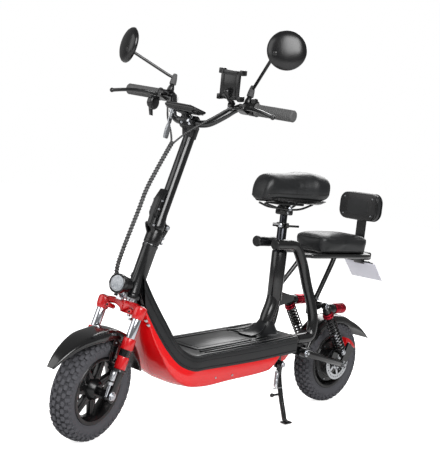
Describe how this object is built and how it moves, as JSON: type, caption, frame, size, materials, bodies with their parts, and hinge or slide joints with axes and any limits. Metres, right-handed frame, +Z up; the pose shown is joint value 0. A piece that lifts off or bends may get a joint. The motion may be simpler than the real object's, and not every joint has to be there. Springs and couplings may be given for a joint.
{
  "type": "seated electric scooter",
  "caption": "Folding seated electric scooter with a sprung fork, a low deck, side loops, a raised saddle, a rear passenger cushion on a rack, twin rear shocks and a side stand.",
  "frame": {"origin": "on the ground, under the middle of the scooter's length", "axes": "+X forward, +Y to the rider's left, +Z up"},
  "size_m": [1.4326, 0.6181, 1.2029],
  "materials": {
    "tyre_rubber": "matte moulded rubber",
    "grip_rubber": "matte",
    "black_paint": "satin",
    "black_plastic": "satin",
    "gloss_black": "glossy",
    "deck_coat": "fine textured",
    "red_panel": "glossy",
    "red_fork": "glossy",
    "cast_black": "satin cast",
    "bare_steel": "brushed",
    "bright_plate": "polished",
    "cast_alloy": "cast",
    "saddle_leather": "grained",
    "lamp_red": "glossy lens",
    "cell_pack": "wrapped"
  },
  "bodies": {
    "frame": {"main_frame": "black_paint", "side_loop_left": "black_paint", "side_loop_right": "black_paint", "deck_shell": "deck_coat", "body_panel_left": "red_panel", "body_panel_right": "red_panel", "battery_pack": "cell_pack", "motor_controller": "cast_alloy", "head_bearing_lower": "bare_steel", "head_bearing_upper": "bare_steel", "rack_frame": "black_paint", "rear_cushion": "saddle_leather", "backrest_pad": "saddle_leather", "tail_lamp": "lamp_red", "plate_bracket": "black_paint", "kickstand_spring": "bare_steel"},
    "seat": {"seat_post": "bright_plate", "saddle": "saddle_leather"},
    "seat_clamp": {"seat_clamp_lever": "black_paint"},
    "kickstand": {"kickstand_leg": "black_paint"},
    "steering": {"fork_crown": "red_fork", "stem_base": "black_paint", "headlight": "black_plastic", "cable_bundle": "grip_rubber"},
    "fork_lowers": {"fork_lower_left": "red_fork", "fork_lower_right": "red_fork", "front_fender": "gloss_black", "front_axle": "bare_steel", "front_calliper": "cast_black"},
    "front_wheel": {"front_tyre": "tyre_rubber", "front_rim": "cast_black", "front_disc": "bare_steel"},
    "stem": {"stem_tube": "black_paint", "handlebar": "black_paint", "display": "black_plastic", "grip_left": "grip_rubber", "grip_right": "grip_rubber", "left_control": "black_plastic", "right_control": "black_plastic", "phone_holder": "black_plastic"},
    "fold_latch": {"fold_lever": "black_paint"},
    "brake_left": {"brake_lever_left": "black_paint"},
    "brake_right": {"brake_lever_right": "black_paint"},
    "throttle": {"throttle_paddle": "black_plastic"},
    "horn": {"horn_button": "black_plastic"},
    "mirror_l": {"mirror_left": "black_plastic"},
    "mirror_r": {"mirror_right": "black_plastic"},
    "key": {"ignition_key": "bare_steel"},
    "swing": {"swing_arm": "black_paint", "rear_fender": "gloss_black", "rear_calliper": "red_fork"},
    "rear_wheel": {"rear_tyre": "tyre_rubber", "hub_motor": "cast_black", "rear_disc": "bare_steel"},
    "shock_l": {"shock_body_left": "black_paint", "shock_coil_left": "black_paint"},
    "shock_r": {"shock_body_right": "black_paint", "shock_coil_right": "black_paint"},
    "rod_l": {"shock_rod_left": "bare_steel"},
    "rod_r": {"shock_rod_right": "bare_steel"}
  },
  "joints": [
    {"name": "steering_head", "type": "hinge", "parent": "frame", "child": "steering", "pos_m": [0.49862, 0, 0.1398], "axis": [-0.309, 0, 0.9511], "range_deg": [-57, 27]},
    {"name": "fork_travel", "type": "slide", "parent": "steering", "child": "fork_lowers", "axis": [-0.309, 0, 0.9511], "range_m": [0, 0.03], "stiffness_N_per_m": 14000, "springref_m": -0.03},
    {"name": "front_wheel_spin", "type": "hinge", "parent": "fork_lowers", "child": "front_wheel", "pos_m": [0.52893, 0.00854, 0.14965], "axis": [-0.2462, 0.9659, -0.08], "continuous": true},
    {"name": "stem_fold", "type": "hinge", "parent": "steering", "child": "stem", "pos_m": [0.31133, -0.0088, 0.60994], "axis": [-0.2462, 0.9659, -0.08], "range_deg": [-40, 0], "deforming": ["cable_bundle"]},
    {"name": "fold_lever_swing", "type": "hinge", "parent": "steering", "child": "fold_latch", "pos_m": [0.38241, 0.01009, 0.61936], "axis": [-0.2462, 0.9659, -0.08], "range_deg": [0, 95]},
    {"name": "brake_lever_left_pull", "type": "hinge", "parent": "stem", "child": "brake_left", "pos_m": [0.19371, 0.14696, 0.97758], "axis": [-0.309, 0, 0.9511], "range_deg": [0, 11], "stiffness_Nm_per_rad": 6, "springref_deg": -5.73},
    {"name": "brake_lever_right_pull", "type": "hinge", "parent": "stem", "child": "brake_right", "pos_m": [0.26755, -0.14282, 1.00158], "axis": [-0.309, 0, 0.9511], "range_deg": [-11, 0], "stiffness_Nm_per_rad": 6, "springref_deg": 5.73},
    {"name": "throttle_press", "type": "hinge", "parent": "stem", "child": "throttle", "pos_m": [0.28688, -0.15137, 0.97631], "axis": [-0.2462, 0.9659, -0.08], "range_deg": [-25, 0], "stiffness_Nm_per_rad": 0.4, "springref_deg": 11.46},
    {"name": "horn_press", "type": "slide", "parent": "stem", "child": "horn", "axis": [0.309, 0, -0.9511], "range_m": [0, 0.002], "stiffness_N_per_m": 800, "springref_m": -0.001},
    {"name": "mirror_l_turn", "type": "hinge", "parent": "stem", "child": "mirror_l", "pos_m": [0.15326, 0.12982, 1.02017], "axis": [-0.309, 0, 0.9511], "range_deg": [-20, 20]},
    {"name": "mirror_r_turn", "type": "hinge", "parent": "stem", "child": "mirror_r", "pos_m": [0.22218, -0.14064, 1.04256], "axis": [-0.309, 0, 0.9511], "range_deg": [-20, 20]},
    {"name": "key_turn", "type": "hinge", "parent": "stem", "child": "key", "pos_m": [0.3277, -0.01368, 0.92577], "axis": [0.1448, -0.0449, -0.9884], "range_deg": [0, 90]},
    {"name": "seat_height", "type": "slide", "parent": "frame", "child": "seat", "axis": [0, 0, 1], "range_m": [-0.025, 0.06]},
    {"name": "seat_clamp_swing", "type": "hinge", "parent": "frame", "child": "seat_clamp", "pos_m": [-0.1956, 0.027, 0.632], "axis": [0, 0, 1], "range_deg": [-80, 0]},
    {"name": "kickstand_fold", "type": "hinge", "parent": "frame", "child": "kickstand", "pos_m": [-0.151, 0.104, 0.188], "axis": [0, 1, 0], "range_deg": [0, 95], "deforming": ["kickstand_spring"]},
    {"name": "swing_travel", "type": "hinge", "parent": "frame", "child": "swing", "pos_m": [-0.275, 0, 0.215], "axis": [0, 1, 0], "range_deg": [0, 8], "stiffness_Nm_per_rad": 900, "springref_deg": -6.88},
    {"name": "rear_wheel_spin", "type": "hinge", "parent": "swing", "child": "rear_wheel", "pos_m": [-0.52, 0, 0.15], "axis": [0, 1, 0], "continuous": true},
    {"name": "shock_l_swing", "type": "hinge", "parent": "frame", "child": "shock_l", "pos_m": [-0.368, 0.088, 0.368], "axis": [0, 1, 0], "range_deg": [0, 5.52]},
    {"name": "shock_l_travel", "type": "slide", "parent": "shock_l", "child": "rod_l", "axis": [0.5876, 0, 0.8092], "range_m": [0, 0.0235], "deforming": ["shock_coil_left"]},
    {"name": "shock_r_swing", "type": "hinge", "parent": "frame", "child": "shock_r", "pos_m": [-0.368, -0.088, 0.368], "axis": [0, 1, 0], "range_deg": [0, 5.52]},
    {"name": "shock_r_travel", "type": "slide", "parent": "shock_r", "child": "rod_r", "axis": [0.5876, 0, 0.8092], "range_m": [0, 0.0235], "deforming": ["shock_coil_right"]}
  ],
  "couplings": [
    {"joint": "shock_l_swing", "follows": "swing_travel", "ratio": 0.68809},
    {"joint": "shock_l_travel", "follows": "swing_travel", "m_per_rad": 0.16819},
    {"joint": "shock_r_swing", "follows": "swing_travel", "ratio": 0.68809},
    {"joint": "shock_r_travel", "follows": "swing_travel", "m_per_rad": 0.16819}
  ]
}
